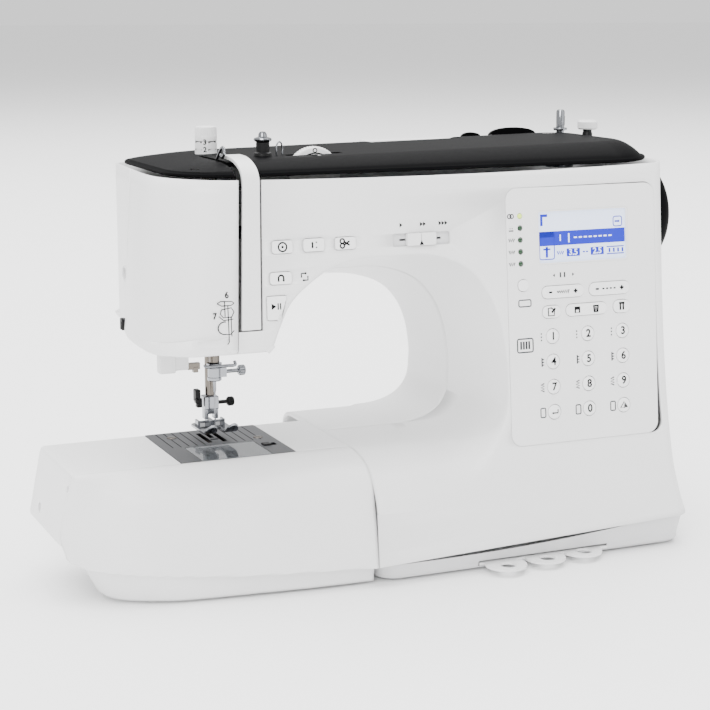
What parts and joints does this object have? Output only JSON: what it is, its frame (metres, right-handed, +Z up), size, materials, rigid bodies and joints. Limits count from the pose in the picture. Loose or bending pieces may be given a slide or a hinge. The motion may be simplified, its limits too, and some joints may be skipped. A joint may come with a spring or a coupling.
{
  "type": "sewing machine",
  "caption": "Computerised free-arm sewing machine with a white body, black top cover, side handwheel, keypad with small display, and a slide-off extension table.",
  "frame": {"origin": "on the table, below the middle of the machine's bounding box", "axes": "+X from the end of the free arm to the handwheel, +Y from the user to the rear, +Z up"},
  "size_m": [0.4084, 0.176, 0.263],
  "materials": {
    "white_plastic": "satin white",
    "black_plastic": "satin black",
    "chrome": "polished",
    "plate_steel": "brushed",
    "cast_metal": "as cast",
    "rubber": "matt",
    "key_plastic": "matt white",
    "clear_plastic": "clear",
    "display": "pale blue display"
  },
  "bodies": {
    "machine": {"front_cover": "white_plastic", "rear_cover": "white_plastic", "face_cover": "white_plastic", "top_cover": "black_plastic", "base_tray": "white_plastic", "free_arm_cover": "white_plastic", "thread_strip": "white_plastic", "control_panel": "white_plastic", "lcd_window": "display", "chassis_frame": "cast_metal", "drive_motor": "plate_steel", "drive_belt": "rubber", "pretension_guide": "chrome", "needle_plate": "plate_steel", "bobbin_case": "black_plastic", "power_socket": "black_plastic"},
    "wheel": {"handwheel": "black_plastic", "main_shaft": "plate_steel"},
    "motor_rotor": {"motor_pulley": "plate_steel"},
    "lower_drive": {"lower_shaft": "plate_steel"},
    "hook": {"rotary_hook": "chrome"},
    "take_up": {"take_up_lever": "chrome"},
    "needle_slide": {"needle_bar": "chrome", "needle_clamp": "chrome", "needle": "chrome"},
    "needle_screw": {"clamp_screw": "chrome"},
    "presser": {"presser_bar": "plate_steel", "foot_holder": "chrome"},
    "holder_screw": {"foot_screw": "black_plastic"},
    "foot_catch": {"foot_release": "black_plastic"},
    "foot": {"presser_foot": "chrome"},
    "lifter": {"foot_lifter": "white_plastic"},
    "feed": {"feed_dog": "plate_steel"},
    "threader": {"needle_threader": "white_plastic"},
    "pressure": {"pressure_dial": "white_plastic"},
    "tension": {"tension_dial": "white_plastic"},
    "winder": {"winder_spindle": "chrome"},
    "spool": {"spool_pin": "black_plastic"},
    "handle": {"carry_handle": "white_plastic"},
    "speed": {"speed_slider": "white_plastic"},
    "mains": {"power_switch": "black_plastic"},
    "bobbin_body": {"bobbin": "clear_plastic"},
    "bobbin_lid": {"bobbin_cover": "clear_plastic"},
    "lid_release": {"cover_release": "black_plastic"},
    "table": {"extension_table": "white_plastic"},
    "card": {"slide_card": "white_plastic"},
    "needle_stop_button_body": {"needle_stop_button": "key_plastic"},
    "needle_position_button_body": {"needle_position_button": "key_plastic"},
    "thread_cutter_button_body": {"thread_cutter_button": "key_plastic"},
    "reverse_button_body": {"reverse_button": "key_plastic"},
    "start_stop_button_body": {"start_stop_button": "key_plastic"},
    "stitch_mode_key_body": {"stitch_mode_key": "key_plastic"},
    "width_rocker_body": {"width_rocker": "key_plastic"},
    "length_rocker_body": {"length_rocker": "key_plastic"},
    "edit_key_body": {"edit_key": "key_plastic"},
    "memory_rocker_body": {"memory_rocker": "key_plastic"},
    "twin_needle_key_body": {"twin_needle_key": "key_plastic"},
    "number_keys_1_body": {"number_keys_1": "key_plastic"},
    "number_keys_2_body": {"number_keys_2": "key_plastic"},
    "number_keys_3_body": {"number_keys_3": "key_plastic"}
  },
  "joints": [
    {"name": "wheel_turn", "type": "hinge", "parent": "machine", "child": "wheel", "pos_m": [0.18, 0.0195, 0.198], "axis": [1, 0, 0], "continuous": true},
    {"name": "motor_turn", "type": "hinge", "parent": "machine", "child": "motor_rotor", "pos_m": [0.152, 0.045, 0.048], "axis": [1, 0, 0], "continuous": true},
    {"name": "lower_turn", "type": "hinge", "parent": "machine", "child": "lower_drive", "pos_m": [0, 0.005, 0.042], "axis": [1, 0, 0], "continuous": true},
    {"name": "hook_turn", "type": "hinge", "parent": "machine", "child": "hook", "pos_m": [-0.1, -0.002, 0.055], "axis": [0, 0, 1], "continuous": true},
    {"name": "take_up_swing", "type": "hinge", "parent": "machine", "child": "take_up", "pos_m": [-0.104, 0.008, 0.205], "axis": [1, 0, 0], "range_deg": [0, 62]},
    {"name": "needle_travel", "type": "slide", "parent": "machine", "child": "needle_slide", "axis": [0, 0, 1], "range_m": [-0.022, 0.006]},
    {"name": "clamp_screw_turn", "type": "hinge", "parent": "needle_slide", "child": "needle_screw", "pos_m": [-0.08, 0.0195, 0.115], "axis": [1, 0, 0], "range_deg": [-90, 180]},
    {"name": "presser_travel", "type": "slide", "parent": "machine", "child": "presser", "axis": [0, 0, 1], "range_m": [-0.005, 0]},
    {"name": "foot_screw_turn", "type": "hinge", "parent": "presser", "child": "holder_screw", "pos_m": [-0.084, 0.0285, 0.0944], "axis": [1, 0, 0], "range_deg": [-90, 180]},
    {"name": "foot_catch_tilt", "type": "hinge", "parent": "presser", "child": "foot_catch", "pos_m": [-0.104, 0.0285, 0.098], "axis": [1, 0, 0], "range_deg": [-8, 0], "stiffness_Nm_per_rad": 0.05},
    {"name": "foot_tilt", "type": "hinge", "parent": "presser", "child": "foot", "pos_m": [-0.09565, 0.0285, 0.0845], "axis": [1, 0, 0], "range_deg": [-2, 8]},
    {"name": "lifter_swing", "type": "hinge", "parent": "machine", "child": "lifter", "pos_m": [-0.086, 0.038, 0.142], "axis": [1, 0, 0], "range_deg": [-25.2, 0]},
    {"name": "feed_travel", "type": "slide", "parent": "machine", "child": "feed", "axis": [0, 1, 0], "range_m": [-0.0015, 0.0015]},
    {"name": "threader_travel", "type": "slide", "parent": "machine", "child": "threader", "axis": [0, 0, 1], "range_m": [-0.02, 0], "stiffness_N_per_m": 30, "springref_m": 0.01},
    {"name": "pressure_turn", "type": "hinge", "parent": "machine", "child": "pressure", "pos_m": [-0.09565, 0.0285, 0.25], "axis": [0, 0, 1], "range_deg": [-135, 135]},
    {"name": "tension_turn", "type": "hinge", "parent": "machine", "child": "tension", "pos_m": [-0.0444, -0.012, 0.2336], "axis": [0, 1, 0], "range_deg": [-140, 140]},
    {"name": "winder_turn", "type": "hinge", "parent": "machine", "child": "winder", "pos_m": [0.1553, 0.0514, 0.25], "axis": [0, 0, 1], "continuous": true},
    {"name": "spool_swing", "type": "hinge", "parent": "machine", "child": "spool", "pos_m": [0.142, 0.06, 0.243], "axis": [0, 1, 0], "range_deg": [0, 90]},
    {"name": "handle_swing", "type": "hinge", "parent": "machine", "child": "handle", "pos_m": [0.048, 0.048, 0.2412], "axis": [1, 0, 0], "range_deg": [0, 90]},
    {"name": "speed_travel", "type": "slide", "parent": "machine", "child": "speed", "axis": [1, 0, 0], "range_m": [-0.008, 0.009]},
    {"name": "mains_rock", "type": "hinge", "parent": "machine", "child": "mains", "pos_m": [0.177, 0.0278, 0.048], "axis": [0, 1, 0], "range_deg": [0, 6]},
    {"name": "bobbin_turn", "type": "hinge", "parent": "machine", "child": "bobbin_body", "pos_m": [-0.1, -0.002, 0.06], "axis": [0, 0, 1], "continuous": true},
    {"name": "bobbin_lid_lift", "type": "slide", "parent": "machine", "child": "bobbin_lid", "axis": [0, 0, 1], "range_m": [0, 0.004]},
    {"name": "lid_release_travel", "type": "slide", "parent": "machine", "child": "lid_release", "axis": [1, 0, 0], "range_m": [0, 0.003], "stiffness_N_per_m": 100},
    {"name": "table_pull", "type": "slide", "parent": "machine", "child": "table", "axis": [-1, 0, 0], "range_m": [0, 0.18]},
    {"name": "card_pull", "type": "slide", "parent": "machine", "child": "card", "axis": [0, -1, 0], "range_m": [0, 0.06]},
    {"name": "needle_stop_button_press", "type": "slide", "parent": "machine", "child": "needle_stop_button_body", "axis": [0, 0.9955, -0.0946], "range_m": [0, 0.0012], "stiffness_N_per_m": 300},
    {"name": "needle_position_button_press", "type": "slide", "parent": "machine", "child": "needle_position_button_body", "axis": [0, 0.9955, -0.0946], "range_m": [0, 0.0012], "stiffness_N_per_m": 300},
    {"name": "thread_cutter_button_press", "type": "slide", "parent": "machine", "child": "thread_cutter_button_body", "axis": [0, 0.9955, -0.0946], "range_m": [0, 0.0012], "stiffness_N_per_m": 300},
    {"name": "reverse_button_press", "type": "slide", "parent": "machine", "child": "reverse_button_body", "axis": [0, 0.9955, -0.0946], "range_m": [0, 0.0012], "stiffness_N_per_m": 300},
    {"name": "start_stop_button_press", "type": "slide", "parent": "machine", "child": "start_stop_button_body", "axis": [0, 0.9955, -0.0946], "range_m": [0, 0.0012], "stiffness_N_per_m": 300},
    {"name": "stitch_mode_key_press", "type": "slide", "parent": "machine", "child": "stitch_mode_key_body", "axis": [0, 0.9955, -0.0946], "range_m": [0, 0.0012], "stiffness_N_per_m": 300},
    {"name": "width_rocker_press", "type": "slide", "parent": "machine", "child": "width_rocker_body", "axis": [0, 0.9955, -0.0946], "range_m": [0, 0.0012], "stiffness_N_per_m": 300},
    {"name": "length_rocker_press", "type": "slide", "parent": "machine", "child": "length_rocker_body", "axis": [0, 0.9955, -0.0946], "range_m": [0, 0.0012], "stiffness_N_per_m": 300},
    {"name": "edit_key_press", "type": "slide", "parent": "machine", "child": "edit_key_body", "axis": [0, 0.9955, -0.0946], "range_m": [0, 0.0012], "stiffness_N_per_m": 300},
    {"name": "memory_rocker_press", "type": "slide", "parent": "machine", "child": "memory_rocker_body", "axis": [0, 0.9955, -0.0946], "range_m": [0, 0.0012], "stiffness_N_per_m": 300},
    {"name": "twin_needle_key_press", "type": "slide", "parent": "machine", "child": "twin_needle_key_body", "axis": [0, 0.9955, -0.0946], "range_m": [0, 0.0012], "stiffness_N_per_m": 300},
    {"name": "number_keys_1_press", "type": "slide", "parent": "machine", "child": "number_keys_1_body", "axis": [0, 0.9955, -0.0946], "range_m": [0, 0.0012], "stiffness_N_per_m": 300},
    {"name": "number_keys_2_press", "type": "slide", "parent": "machine", "child": "number_keys_2_body", "axis": [0, 0.9955, -0.0946], "range_m": [0, 0.0012], "stiffness_N_per_m": 300},
    {"name": "number_keys_3_press", "type": "slide", "parent": "machine", "child": "number_keys_3_body", "axis": [0, 0.9955, -0.0946], "range_m": [0, 0.0012], "stiffness_N_per_m": 300}
  ],
  "couplings": [
    {"joint": "motor_turn", "follows": "wheel_turn", "ratio": 2.6667},
    {"joint": "lower_turn", "follows": "wheel_turn", "ratio": 1},
    {"joint": "hook_turn", "follows": "wheel_turn", "ratio": 2},
    {"joint": "lifter_swing", "follows": "presser_travel", "rad_per_m": 87.2}
  ]
}
